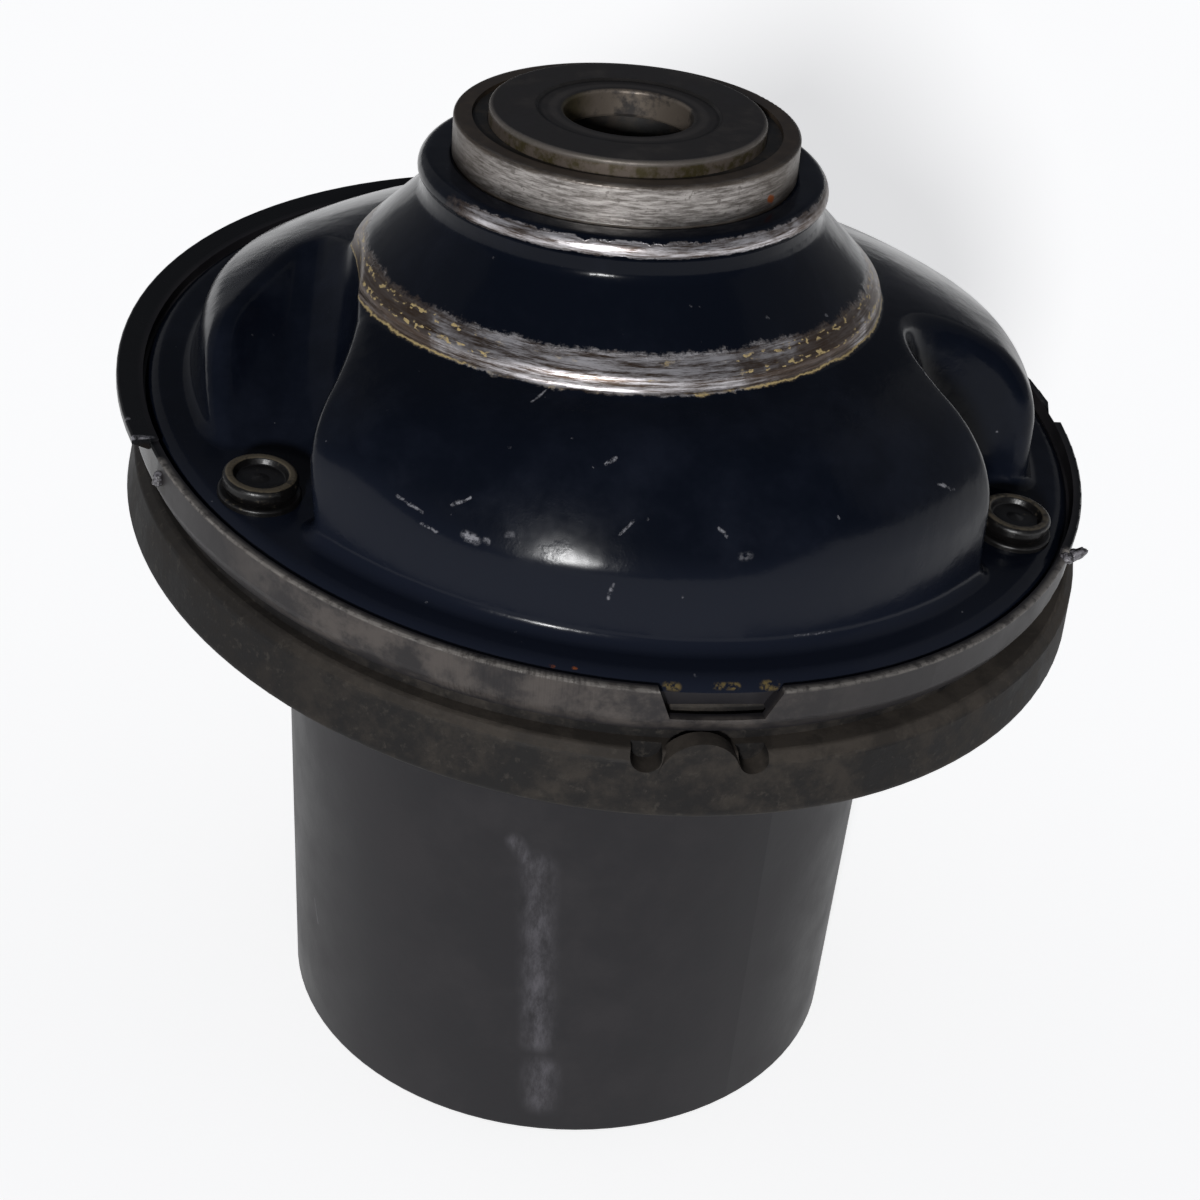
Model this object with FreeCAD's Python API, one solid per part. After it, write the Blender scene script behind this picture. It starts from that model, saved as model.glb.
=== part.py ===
import FreeCAD, Part
import math
import os

os.makedirs("parts", exist_ok=True)

Vector = FreeCAD.Vector

# Upper mount of a suspension strut. All sizes are in millimetres.
# The origin is the middle of the rod bore, and +Z runs up along the strut's axis.
# The flange of the spring seat lies in a tilted plane with a frame of its own, the seat frame.

# Thrust bearing
rod_bore_r = 10.25
disc_r = 22.0
disc_thick = 5.0
disc_edge_round = 0.6
disc_step_r = 14.3
disc_step_depth = 0.35
ring_r = 27.5
ring_seated_r = 26.8
ring_step_below_disc = 8.1
ring_edge_round = 0.5
ring_foot_round = 1.2
ring_below_disc = 1.8
ring_rim_inner_r = 24.6
ring_pocket_r = 23.4
ring_bore_r = 11.4
bearing_height = 13.5
ball_r = 3.0
ball_count = 14
ball_pitch_r = 17.4
ball_clearance = 0.03
groove_depth = 1.1
groove_to_ball = 1.05
cage_thick = 2.6
cage_side_gap = 0.6
cage_ball_gap = 0.15
seal_gap = 0.1
upper_seal_lip = 0.5
upper_seal_depth = 1.9
seal_below_rim = 0.8
lower_seal_r = 12.8

# Spring seat, the coaxial part of its outer skin from the bearing cup down to the dome
sheet = 2.0
least_bend = 0.2
cup_clearance = 0.05
seat_hole_r = 13.0
shoulder_below_disc = 8.3
bead_r = 32.8
bead_height = 2.6
neck_r = 32.1
neck_foot_below_disc = 14.5
wall_r = 43.3
wall_top_below_disc = 25.8
wall_foot_below_disc = 28.0
dome_knee_r = 63.5
dome_knee_below_disc = 33.4
dome_rim_run = 22.5
dome_rim_fall = 18.6
dome_round = 86.0
cup_foot_round = 1.0
cup_lip_round = 1.4
bead_top_round = 2.2
bead_foot_round = 0.8
neck_round = 3.0
wall_top_round = 2.5
wall_foot_round = 1.2

# Seat frame: centre of the flange's upper face, and the slopes of its plane.
# The drum is tall at its front and low at its back, so its shoulder is rounded to suit all the way round.
seat_centre_x = 1.8
seat_centre_y = 6.5
seat_centre_below_disc = 53.6
seat_slope_x = 0.08
seat_slope_y = -0.06
drum_draft = 0.12
drum_low = -6.0
drum_high = 60.0
drum_round = 11.5
drum_round_swing = 7.0
drum_front_deg = -50.0
fold_round = 2.5

# Rivet pockets: direction, floor radius, mouth radius, and how far the mouth leans for each mm of height
rivet_first_deg = -139.2
pocket_lean_left = (-0.12, 2.2)
pocket_lean_right = (-0.35, 0.25)
pocket_lean_back = (0.0, -0.3)
pocket_floor_left = 13.0
pocket_chute_left = 7.0
pocket_floor_right = 14.0
pocket_chute_right = 14.0
pocket_floor_back = 12.0
pocket_chute_back = 12.0
pocket_points = 18
pocket_height = 40.0
crest_rounds = (3.0, 3.5, 3.5)
inner_crest_round = 0.6

# Rivets and their washers
rivet_shank_r = 3.0
rivet_hole_clearance = 0.1
rivet_head_r = 5.9
rivet_head_height = 3.0
rivet_recess_r = 4.3
rivet_recess_depth = 1.1
rivet_foot_r = 5.2
rivet_foot_height = 1.6
rivet_foot_round = 0.8
rivet_roll_in = 0.7
rivet_roll_height = 1.2
rivet_side_round = 0.8
rivet_crown_round = 0.9
rivet_mouth_round = 0.6
rivet_recess_draft = 0.5
rivet_recess_round = 0.3
rivet_dimple_r = 1.4
rivet_dimple_round = 0.8
rivet_dimple_rise = 0.4
washer_r = 6.5
washer_thick = 1.0
washer_round = 0.4

# Dust tube with its flange, band and what is left of its lip. The flange of the seat fits in the band.
web_thick = 2.8
band_r = 81.0
band_thick = 1.5
flange_gap = 0.3
drum_inset = 7.7
rivet_inset = 8.4
band_top = 0.6
band_foot = 8.4
band_foot_bevel = 1.2
lip_reach = 2.8
lip_top = 0.8
lip_thick = 1.4
lip_from_deg = 60.0
lip_to_deg = 206.0
lip_root_round = 1.5
lip_root_rise = 0.4
lip_edge_round = 0.5
rim_edge_round = 0.3
band_top_round = 0.4
band_foot_round = 2.0
rim_top = 0.7
rim_from_deg = -20.0
rim_to_deg = 40.0
rim_tear_deg = 13.0
rim_tear_depth = 3.0
notch_deg = -76.2
notch_top_width = 19.0
notch_foot_width = 14.5
notch_depth = 4.9
tube_top_r = 53.6
tube_end_r = 50.3
tube_wall = 2.2
tube_end_below_disc = 170.0
tube_end_round = 0.8
bore_overrun = 20.0

# Rubber spring pad
pad_body_gap = 1.3
pad_body_round = 0.8
pad_shoulder_depth = 11.2
pad_top_step = 3.4
pad_top_bevel = 1.5
pad_top_round = 1.0
pad_top_depth = 12.7
pad_foot_flare = 1.0
pad_foot_depth = 22.5
pad_foot_round = 1.6
pad_tube_gap = 0.4
pad_shift_x = 1.4
pad_shift_y = -1.0
pad_groove_inset = 14.1
pad_groove_wire_r = 7.0
pad_groove_depth = 3.0
pad_notch_degs = (-84.0, -72.4)
pad_notch_r = 2.4
pad_tab_r = 6.2
pad_tab_thick = 3.0
pad_tab_sink = 2.0
pad_notch_sink = 0.6
foot_room_side = 0.6
foot_room_under = 0.5

band_inner_r = band_r - band_thick
flange_r = band_inner_r - flange_gap
drum_foot_r = flange_r - drum_inset
rivet_circle_r = flange_r - rivet_inset
lip_r = band_r + lip_reach
pad_body_r = band_inner_r - pad_body_gap
pad_top_r = pad_body_r + pad_top_step
pad_foot_r = pad_top_r + pad_foot_flare
pad_groove_r = pad_foot_r - pad_groove_inset

disc_top = disc_thick / 2
disc_foot = -disc_thick / 2
bearing_foot = disc_top - bearing_height
ring_top = disc_top - ring_below_disc
ball_z = disc_foot + groove_depth - ball_r
ring_floor = ball_z - ball_r + groove_depth
seam_deg = drum_front_deg
far_below = -100.0

seat_normal = Vector(seat_slope_x, seat_slope_y, 1.0)
seat_normal.normalize()
seat_origin = Vector(seat_centre_x, seat_centre_y, disc_top - seat_centre_below_disc)
seat_frame = FreeCAD.Placement(seat_origin, FreeCAD.Rotation(Vector(0, 0, 1), seat_normal))
up = Vector(0, 0, 1)
middle = Vector(0, 0, 0)


def direction(start, end):
    length = math.hypot(end[0] - start[0], end[1] - start[1])
    return (end[0] - start[0]) / length, (end[1] - start[1]) / length


def point(r, z):
    return Vector(r, 0, z)


def outline_edges(corners):
    """Edges of an open outline of (radius, height, rounding) corners, each rounded by a tangent arc."""
    edges = []
    here = point(corners[0][0], corners[0][1])
    for before, corner, after in zip(corners, corners[1:], corners[2:]):
        back = direction(corner, before)
        ahead = direction(corner, after)
        tip = point(corner[0], corner[1])
        if corner[2] <= 0:
            edges.append(Part.makeLine(here, tip))
            here = tip
            continue
        angle = math.acos(back[0] * ahead[0] + back[1] * ahead[1])
        reach = corner[2] / math.tan(angle / 2)
        first = tip + point(back[0], back[1]) * reach
        last = tip + point(ahead[0], ahead[1]) * reach
        inward = point(back[0] + ahead[0], back[1] + ahead[1])
        inward.normalize()
        crown = tip + inward * (corner[2] / math.sin(angle / 2) - corner[2])
        if here.distanceToPoint(first) > 1e-6:
            edges.append(Part.makeLine(here, first))
        edges.append(Part.Arc(first, crown, last).toShape())
        here = last
    edges.append(Part.makeLine(here, point(corners[-1][0], corners[-1][1])))
    return edges


def sunk_outline(corners, depth):
    """The same outline moved inward by the sheet's thickness, with its roundings changed to suit."""
    lines = []
    for start, end in zip(corners, corners[1:]):
        along = direction(start, end)
        lines.append((start[0] + along[1] * depth, start[1] - along[0] * depth, along))
    sunk = [(lines[0][0], lines[0][1], 0)]
    for (x, z, along), (next_x, next_z, next_along), corner in zip(lines, lines[1:], corners[1:]):
        turn = along[0] * next_along[1] - along[1] * next_along[0]
        reach = ((next_x - x) * next_along[1] - (next_z - z) * next_along[0]) / turn
        rounding = corner[2] + depth if turn > 0 else max(corner[2] - depth, least_bend)
        sunk.append((x + along[0] * reach, z + along[1] * reach, rounding))
    end = corners[-1]
    along = lines[-1][2]
    sunk.append((end[0] + along[1] * depth, end[1] - along[0] * depth, 0))
    return sunk


def turned(edges, seam=seam_deg):
    """A solid turned about Z from the edges of a closed outline."""
    solid = Part.Face(Part.Wire(edges)).revolve(middle, up, 360)
    solid.rotate(middle, up, seam)
    return solid


def closed_turned(corners):
    """A turned solid whose last corner is joined to its first by a straight line."""
    edges = outline_edges(corners)
    edges.append(Part.makeLine(point(corners[-1][0], corners[-1][1]), point(corners[0][0], corners[0][1])))
    return turned(edges)


def turned_in_halves(edges):
    """The same solid from a front and a back half, so that its long edges end at the drum's front and back."""
    front = Part.Face(Part.Wire(edges)).revolve(middle, up, 180)
    front.rotate(middle, up, seam_deg)
    back = front.copy()
    back.rotate(middle, up, 180)
    return front.fuse(back)


def in_seat_frame(shape):
    shape.Placement = seat_frame.multiply(shape.Placement)
    return shape


def at_angle(shape, degrees):
    shape.rotate(middle, up, degrees)
    return shape


def tube_r(z):
    """Outer radius of the dust tube at a height."""
    tube_end = disc_top - tube_end_below_disc
    return tube_end_r + (tube_top_r - tube_end_r) * (z - tube_end) / (seat_origin.z - tube_end)


def raceway(side):
    """Groove ring that a ball runs in. Side is 1 for the disc above the balls and -1 for the ring below."""
    radius = ball_r * groove_to_ball
    height = ball_z - side * (radius - ball_r - ball_clearance)
    return Part.makeTorus(ball_pitch_r, radius, Vector(0, 0, height), up)


def bearing_disc():
    corners = [
        (disc_step_r, disc_top - disc_step_depth, 0),
        (disc_step_r + disc_step_depth, disc_top, 0),
        (disc_r, disc_top, disc_edge_round),
        (disc_r, disc_foot, disc_edge_round),
        (rod_bore_r, disc_foot, disc_edge_round),
        (rod_bore_r, disc_top - disc_step_depth, disc_edge_round),
        (disc_step_r - 1, disc_top - disc_step_depth, 0),
    ]
    return closed_turned(corners).cut(raceway(1))


def bearing_ring():
    step = disc_top - ring_step_below_disc
    corners = [
        (ring_bore_r, ring_floor, 0),
        (ring_bore_r, bearing_foot, ring_edge_round),
        (ring_seated_r, bearing_foot, ring_foot_round),
        (ring_seated_r, step, 0),
        (ring_r, step, 0),
        (ring_r, ring_top, ring_edge_round),
        (ring_rim_inner_r, ring_top, 0),
        (ring_rim_inner_r, ring_top - upper_seal_lip - seal_below_rim, 0),
        (ring_pocket_r, ring_top - upper_seal_lip - seal_below_rim, 0),
        (ring_pocket_r, ring_floor, 0),
    ]
    return closed_turned(corners).cut(raceway(-1))


def bearing_seal_upper():
    top = ring_top - seal_below_rim
    corners = [
        (disc_r + seal_gap, top, 0),
        (ring_rim_inner_r - cup_clearance, top, 0),
        (ring_rim_inner_r - cup_clearance, top - upper_seal_lip, 0),
        (ring_pocket_r, top - upper_seal_lip, 0),
        (ring_pocket_r, top - upper_seal_depth, 0),
        (disc_r + seal_gap, top - upper_seal_depth, 0),
    ]
    return closed_turned(corners)


def bearing_seal_lower():
    corners = [
        (ring_bore_r, ring_floor, 0),
        (lower_seal_r, ring_floor, 0),
        (lower_seal_r, disc_foot - seal_gap, 0),
        (ring_bore_r, disc_foot - seal_gap, 0),
    ]
    return closed_turned(corners)


def ball_cage():
    inner_r = lower_seal_r + cage_side_gap
    outer_r = ring_pocket_r - cage_side_gap
    top = (disc_foot + ring_floor + cage_thick) / 2
    cage = Part.makeCylinder(outer_r, cage_thick, Vector(0, 0, top - cage_thick))
    cage = cage.cut(Part.makeCylinder(inner_r, cage_thick, Vector(0, 0, top - cage_thick)))
    for place in ball_places():
        cage = cage.cut(Part.makeSphere(ball_r + cage_ball_gap, place))
    return cage


def ball_places():
    step = 2 * math.pi / ball_count
    angles = [number * step for number in range(ball_count)]
    return [Vector(ball_pitch_r * math.cos(angle), ball_pitch_r * math.sin(angle), ball_z) for angle in angles]


def seat_corners(depth):
    """A skin of the seat from its middle to beyond the drum, as (radius, height, rounding) of its upper side."""
    cup_r = ring_seated_r + cup_clearance
    shoulder = disc_top - shoulder_below_disc
    undercut = bead_r - neck_r
    cup = [
        (0, bearing_foot, 0),
        (cup_r, bearing_foot, cup_foot_round),
        (cup_r, shoulder, cup_lip_round),
    ]
    bead = [
        (bead_r, shoulder, bead_top_round),
        (bead_r, shoulder - bead_height, bead_foot_round),
        (neck_r, shoulder - bead_height - undercut, bead_foot_round),
    ]
    plain_bend = [(neck_r, shoulder, sheet + least_bend)]
    body = [
        (neck_r, disc_top - neck_foot_below_disc, neck_round),
        (wall_r, disc_top - wall_top_below_disc, wall_top_round),
        (wall_r, disc_top - wall_foot_below_disc, wall_foot_round),
        (dome_knee_r, disc_top - dome_knee_below_disc, dome_round),
        (dome_knee_r + dome_rim_run, disc_top - dome_knee_below_disc - dome_rim_fall, 0),
    ]
    return cup + (plain_bend if depth > 0 else bead) + body


def below_skin(corners):
    """Everything under a skin, as one turned solid."""
    edges = outline_edges(corners)
    end_r = corners[-1][0]
    edges.append(Part.makeLine(point(end_r, corners[-1][1]), point(end_r, far_below)))
    edges.append(Part.makeLine(point(end_r, far_below), point(0, far_below)))
    edges.append(Part.makeLine(point(0, far_below), point(0, corners[0][1])))
    return turned_in_halves(edges)


def drum(depth):
    """The tapered drum under the dome's rim, square to the flange."""
    foot_r = drum_foot_r - depth
    low = point(0, drum_low)
    high = point(0, drum_high)
    wall_low = point(foot_r - drum_draft * drum_low, drum_low)
    wall_high = point(foot_r - drum_draft * drum_high, drum_high)
    outline = Part.makePolygon([low, wall_low, wall_high, high, low])
    return in_seat_frame(turned_in_halves(outline.Edges))


def shoulder_round(place, depth):
    """Rounding of the drum's shoulder at a place on it, wide at the tall front and small at the back."""
    around = seat_frame.inverse().multVec(place)
    from_front = math.atan2(around.y, around.x) - math.radians(drum_front_deg)
    return drum_round + drum_round_swing * math.cos(from_front) - depth


def with_round_shoulder(solid, depth):
    """The drum's long shoulder edges, each rounded from one radius to another along its length."""
    bench = FreeCAD.newDocument("shoulder")
    sharp = bench.addObject("Part::Feature", "sharp")
    sharp.Shape = solid
    fillet = bench.addObject("Part::Fillet", "fillet")
    fillet.Base = sharp
    roundings = []
    for number, edge in enumerate(solid.Edges, 1):
        if isinstance(edge.Curve, Part.BSplineCurve):
            start = shoulder_round(edge.valueAt(edge.FirstParameter), depth)
            end = shoulder_round(edge.valueAt(edge.LastParameter), depth)
            roundings.append((number, start, end))
    fillet.Edges = roundings
    bench.recompute()
    result = fillet.Shape.copy()
    FreeCAD.closeDocument(bench.Name)
    return result


def rivet_degs():
    return [rivet_first_deg + number * 120.0 for number in range(3)]


def pocket_sizes():
    return [
        (pocket_floor_left, pocket_chute_left, pocket_lean_left),
        (pocket_floor_right, pocket_chute_right, pocket_lean_right),
        (pocket_floor_back, pocket_chute_back, pocket_lean_back),
    ]


def pocket_outline(height, number, depth):
    """Closed curve round a pocket at a height: round over the rivet, drawn out along its lean."""
    floor_r, chute_r, lean = pocket_sizes()[number]
    grown = height + depth
    outward = math.radians(rivet_degs()[number])
    along = math.atan2(lean[1], lean[0])
    places = []
    for step in range(pocket_points):
        angle = outward + 2 * math.pi * step / pocket_points
        share = (1 + math.cos(angle - along)) / 2
        radius = floor_r + depth + (chute_r - floor_r) * share * grown / pocket_height
        x = math.cos(angle) * radius + lean[0] * grown * share
        y = math.sin(angle) * radius + lean[1] * grown * share
        places.append(Vector(x, y, height))
    curve = Part.BSplineCurve()
    curve.interpolate(Points=places, PeriodicFlag=True)
    return Part.Wire(curve.toShape())


def pocket(number, depth):
    """The space over one rivet pad, grown by a depth for the lower skin of the sheet."""
    outlines = [pocket_outline(height, number, depth) for height in (-depth, pocket_height)]
    space = Part.makeLoft(outlines, True, True)
    space.translate(rivet_spots()[number])
    return in_seat_frame(space)


def rounded(solid, radius, edges):
    return solid.makeFillet(radius, edges) if radius > 0 else solid


def lies_on(edge, space):
    return all(space.distToShape(Part.Vertex(place))[0] < 0.01 for place in edge.discretize(5))


def floor_edges(solid, depth):
    """Edges in the plane of the flange, apart from its outer edge."""
    to_seat = seat_frame.inverse()
    chosen = []
    for edge in solid.Edges:
        places = [to_seat.multVec(place) for place in edge.discretize(5)]
        flat = all(abs(place.z + depth) < 0.01 for place in places)
        inside = all(math.hypot(place.x, place.y) < flange_r - sheet for place in places)
        if flat and inside:
            chosen.append(edge)
    return chosen


def crest_edges(solid, number, depth):
    """Edges where one pocket cuts through the dome and the drum."""
    skin = pocket(number, depth).Shells[0]
    floor = floor_edges(solid, depth)
    rims = [edge for edge in solid.Edges if not any(edge.isSame(other) for other in floor)]
    return [edge for edge in rims if lies_on(edge, skin)]


def below_sheet(depth, crest_radii, fold_radius, rim_r):
    """Everything under one skin of the pressed seat, with its drum, flange and pockets."""
    corners = seat_corners(depth)
    if depth > 0:
        corners = sunk_outline(corners, depth)
    solid = with_round_shoulder(below_skin(corners).common(drum(depth)), depth)
    flange = Part.makeCylinder(rim_r, pocket_height, Vector(0, 0, -pocket_height - depth))
    solid = solid.fuse(in_seat_frame(at_angle(flange, seam_deg)))
    for number in range(3):
        solid = solid.cut(pocket(number, depth))
    for number, radius in enumerate(crest_radii):
        solid = rounded(solid, radius, crest_edges(solid, number, depth))
    return rounded(solid, fold_radius, floor_edges(solid, depth))


def spring_seat():
    outer = below_sheet(0, crest_rounds, fold_round, flange_r)
    inner = below_sheet(sheet, (inner_crest_round,) * 3, 0, lip_r)
    hole = Part.makeCylinder(seat_hole_r, bearing_height, Vector(0, 0, bearing_foot - bearing_height / 2))
    seat = outer.cut(inner).cut(hole)
    for place in rivet_spots():
        seat = seat.cut(rivet_hole(place))
    return seat


def rivet_spots():
    """Rivet axes on the flange's upper face, in the seat frame."""
    angles = [math.radians(degrees) for degrees in rivet_degs()]
    return [Vector(rivet_circle_r * math.cos(a), rivet_circle_r * math.sin(a), 0) for a in angles]


def rivet_hole(place):
    grip = sheet + web_thick
    radius = rivet_shank_r + rivet_hole_clearance
    return in_seat_frame(Part.makeCylinder(radius, 3 * grip, place - Vector(0, 0, 2 * grip)))


def one_rivet(place):
    grip = -(sheet + web_thick)
    head = washer_thick + rivet_head_height
    corners = [
        (0, grip - rivet_foot_height, 0),
        (rivet_foot_r, grip - rivet_foot_height, rivet_foot_round),
        (rivet_foot_r, grip, 0),
        (rivet_shank_r, grip, 0),
        (rivet_shank_r, washer_thick, 0),
        (rivet_head_r - rivet_roll_in, washer_thick, 0),
        (rivet_head_r, washer_thick + rivet_roll_height, rivet_side_round),
        (rivet_head_r, head, rivet_crown_round),
        (rivet_recess_r, head, rivet_mouth_round),
        (rivet_recess_r - rivet_recess_draft, head - rivet_recess_depth, rivet_recess_round),
        (rivet_dimple_r, head - rivet_recess_depth, rivet_dimple_round),
        (0, head - rivet_recess_depth + rivet_dimple_rise, 0),
    ]
    rivet = closed_turned(corners)
    rivet.translate(place)
    return in_seat_frame(rivet)


def one_washer(place):
    hole_r = rivet_shank_r + rivet_hole_clearance
    corners = [
        (hole_r, 0, 0),
        (washer_r, 0, 0),
        (washer_r, washer_thick, washer_round),
        (hole_r, washer_thick, 0),
    ]
    washer = closed_turned(corners)
    washer.translate(place)
    return in_seat_frame(washer)


def wedge(from_deg, to_deg):
    """A wedge about the seat frame's axis that reaches past the lip and well over and under the flange."""
    reach = 2 * lip_r
    low = -band_foot
    steps = max(2, int(abs(to_deg - from_deg) / 30) + 1)
    corners = [Vector(0, 0, low)]
    for number in range(steps + 1):
        angle = math.radians(from_deg + (to_deg - from_deg) * number / steps)
        corners.append(Vector(reach * math.cos(angle), reach * math.sin(angle), low))
    corners.append(corners[0])
    return Part.Face(Part.makePolygon(corners)).extrude(Vector(0, 0, 2 * band_foot))


def tube_lip():
    """The flared lip that is left round the back and the left."""
    corners = [
        (band_inner_r, -band_top - lip_thick, 0),
        (band_r, -band_top - lip_thick, lip_root_round),
        (lip_r, lip_top - lip_thick, 0),
        (lip_r, lip_top, lip_edge_round),
        (band_inner_r, -band_top + lip_root_rise, 0),
    ]
    return closed_turned(corners).common(wedge(lip_from_deg, lip_to_deg))


def tube_rim():
    """The stub of the lip on the right, an upright rim with a torn notch."""
    corners = [
        (band_inner_r, -band_top - lip_thick, 0),
        (band_r, -band_top - lip_thick, 0),
        (band_r, rim_top, rim_edge_round),
        (band_inner_r, rim_top, 0),
    ]
    return closed_turned(corners).common(wedge(rim_from_deg, rim_to_deg))


def rim_tear():
    """A square bar on its edge, which leaves a torn notch in the rim and the band."""
    side = rim_tear_depth * 4
    bar = Part.makeBox(side, side, side)
    bar.rotate(middle, Vector(1, 0, 0), 45)
    bar.translate(Vector(band_inner_r, 0, -rim_tear_depth))
    return at_angle(bar, rim_tear_deg)


def band_notch():
    """The open notch in the front of the band, wider at its mouth."""
    top = lip_top + band_thick
    inner = band_inner_r - band_thick
    foot = -band_top - notch_depth
    slope = (notch_top_width - notch_foot_width) / 2 / notch_depth
    reach = (top + band_top) * slope
    profile = [
        Vector(inner, -notch_foot_width / 2, foot),
        Vector(inner, notch_foot_width / 2, foot),
        Vector(inner, notch_top_width / 2 + reach, top),
        Vector(inner, -notch_top_width / 2 - reach, top),
    ]
    profile.append(profile[0])
    return at_angle(Part.Face(Part.makePolygon(profile)).extrude(Vector(4 * band_thick, 0, 0)), notch_deg)


def tube_cone(inset, high, low):
    cone = Part.makeCone(tube_r(low) - inset, tube_r(high) - inset, high - low, Vector(0, 0, low))
    return at_angle(cone, seam_deg)


def dust_tube():
    web_foot = -sheet - web_thick
    band = [
        (band_inner_r, web_foot, 0),
        (band_inner_r, -band_foot, 0),
        (band_r - band_foot_bevel, -band_foot, 0),
        (band_r, -band_foot + 2 * band_foot_bevel, band_foot_round),
        (band_r, -band_top, band_top_round),
        (band_inner_r, -band_top, 0),
        (band_inner_r, -sheet, 0),
        (tube_end_r / 2, -sheet, 0),
        (tube_end_r / 2, web_foot, 0),
    ]
    flange = closed_turned(band).fuse(tube_lip()).fuse(tube_rim()).cut(band_notch()).cut(rim_tear())
    tube_end = disc_top - tube_end_below_disc
    tube = tube_cone(0, 0.0, tube_end)
    reach = 2 * lip_r
    over_web = Part.makeBox(2 * reach, 2 * reach, reach, Vector(-reach, -reach, -sheet))
    tube = tube.cut(in_seat_frame(over_web))
    end_edges = [edge for edge in tube.Edges if abs(edge.CenterOfMass.z - tube_end) < 0.01]
    tube = rounded(tube, tube_end_round, [edge for edge in end_edges if isinstance(edge.Curve, Part.Circle)])
    whole = tube.fuse(in_seat_frame(flange)).cut(tube_cone(tube_wall, bore_overrun, tube_end - tube_wall))
    for place in rivet_spots():
        whole = whole.cut(rivet_hole(place))
    return whole.removeSplitter()


def pad_locator():
    """The half-round tab and the two notches at the front of the pad's upper edge."""
    tab_centre = sum(pad_notch_degs) / 2
    tab_place = Vector(pad_top_r - pad_tab_thick, 0, -pad_top_depth - pad_tab_sink)
    tab = Part.makeCylinder(pad_tab_r, pad_tab_thick, tab_place, Vector(1, 0, 0))
    notch_place = Vector(pad_body_r, 0, -pad_shoulder_depth - pad_notch_sink)
    notch = Part.makeCylinder(pad_notch_r, 4 * pad_notch_r, notch_place, Vector(1, 0, 0))
    return at_angle(tab, tab_centre), [at_angle(notch.copy(), degrees) for degrees in pad_notch_degs]


def spring_pad():
    web_foot = -sheet - web_thick
    body = closed_turned([
        (tube_end_r / 2, web_foot, 0),
        (pad_body_r, web_foot, pad_body_round),
        (pad_body_r, -pad_top_depth, 0),
        (tube_end_r / 2, -pad_top_depth, 0),
    ])
    collar = closed_turned([
        (tube_end_r / 2, -pad_shoulder_depth, 0),
        (pad_top_r - pad_top_bevel, -pad_shoulder_depth, pad_top_round),
        (pad_top_r, -pad_top_depth, pad_top_round),
        (pad_foot_r, -pad_foot_depth, pad_foot_round),
        (tube_end_r / 2, -pad_foot_depth, 0),
    ])
    tab, notches = pad_locator()
    collar = collar.fuse(tab)
    for notch in notches:
        collar = collar.cut(notch)
    groove_z = -pad_foot_depth + pad_groove_depth - pad_groove_wire_r
    collar = collar.cut(Part.makeTorus(pad_groove_r, pad_groove_wire_r, Vector(0, 0, groove_z), up))
    collar.translate(Vector(pad_shift_x, pad_shift_y, 0))
    pad = in_seat_frame(body.fuse(collar))
    for place in rivet_spots():
        height = rivet_foot_height + foot_room_under
        foot_room = Part.makeCylinder(rivet_foot_r + foot_room_side, height, place - Vector(0, 0, height - web_foot))
        pad = pad.cut(in_seat_frame(foot_room))
    return pad.cut(tube_cone(-pad_tube_gap, bore_overrun, disc_top - tube_end_below_disc)).removeSplitter()


def build_all():
    parts = {
        "bearing_disc": bearing_disc(),
        "bearing_ring": bearing_ring(),
        "bearing_seal_upper": bearing_seal_upper(),
        "bearing_seal_lower": bearing_seal_lower(),
        "ball_cage": ball_cage(),
        "spring_seat": spring_seat(),
        "rivets": Part.makeCompound([one_rivet(place) for place in rivet_spots()]),
        "rivet_washers": Part.makeCompound([one_washer(place) for place in rivet_spots()]),
        "dust_tube": dust_tube(),
        "spring_pad": spring_pad(),
    }
    for number, place in enumerate(ball_places(), 1):
        parts["ball_%02d" % number] = Part.makeSphere(ball_r, place)
    return parts


for name, shape in build_all().items():
    print(name, "solids", len(shape.Solids), "valid", shape.isValid(), "volume", round(shape.Volume, 1))
    shape.exportStep("parts/" + name + ".step")
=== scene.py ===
import math

import bmesh
import bpy
from mathutils import Matrix, Vector, noise


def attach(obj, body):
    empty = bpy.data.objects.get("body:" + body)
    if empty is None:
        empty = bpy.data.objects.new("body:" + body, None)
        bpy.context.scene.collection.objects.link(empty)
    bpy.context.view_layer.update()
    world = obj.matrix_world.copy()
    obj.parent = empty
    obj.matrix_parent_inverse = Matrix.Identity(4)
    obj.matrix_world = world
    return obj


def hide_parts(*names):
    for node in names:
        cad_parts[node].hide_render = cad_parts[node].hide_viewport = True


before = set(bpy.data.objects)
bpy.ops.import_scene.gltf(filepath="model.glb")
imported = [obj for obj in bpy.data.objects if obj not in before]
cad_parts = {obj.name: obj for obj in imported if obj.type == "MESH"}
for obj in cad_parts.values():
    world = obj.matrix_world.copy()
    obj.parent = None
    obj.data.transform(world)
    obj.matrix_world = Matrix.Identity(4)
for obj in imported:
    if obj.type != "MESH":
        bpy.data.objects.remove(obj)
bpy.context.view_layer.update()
print("frame loaded")

# the camera stands in front of the notch and looks down on the mount, a little rolled
cameraValues = {
    "place": (0.0, -0.356, 0.1304),  # metres
    "turn": 0.3538,  # degrees, as tilt and roll are
    "tilt": 31.519,
    "roll": 5.0216,
    "focalShare": 2358.71 / 1200,  # focal length over the picture's width
    "sensor": 36.0,  # millimetres
    "clipStart": 0.01,  # metres
}


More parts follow.
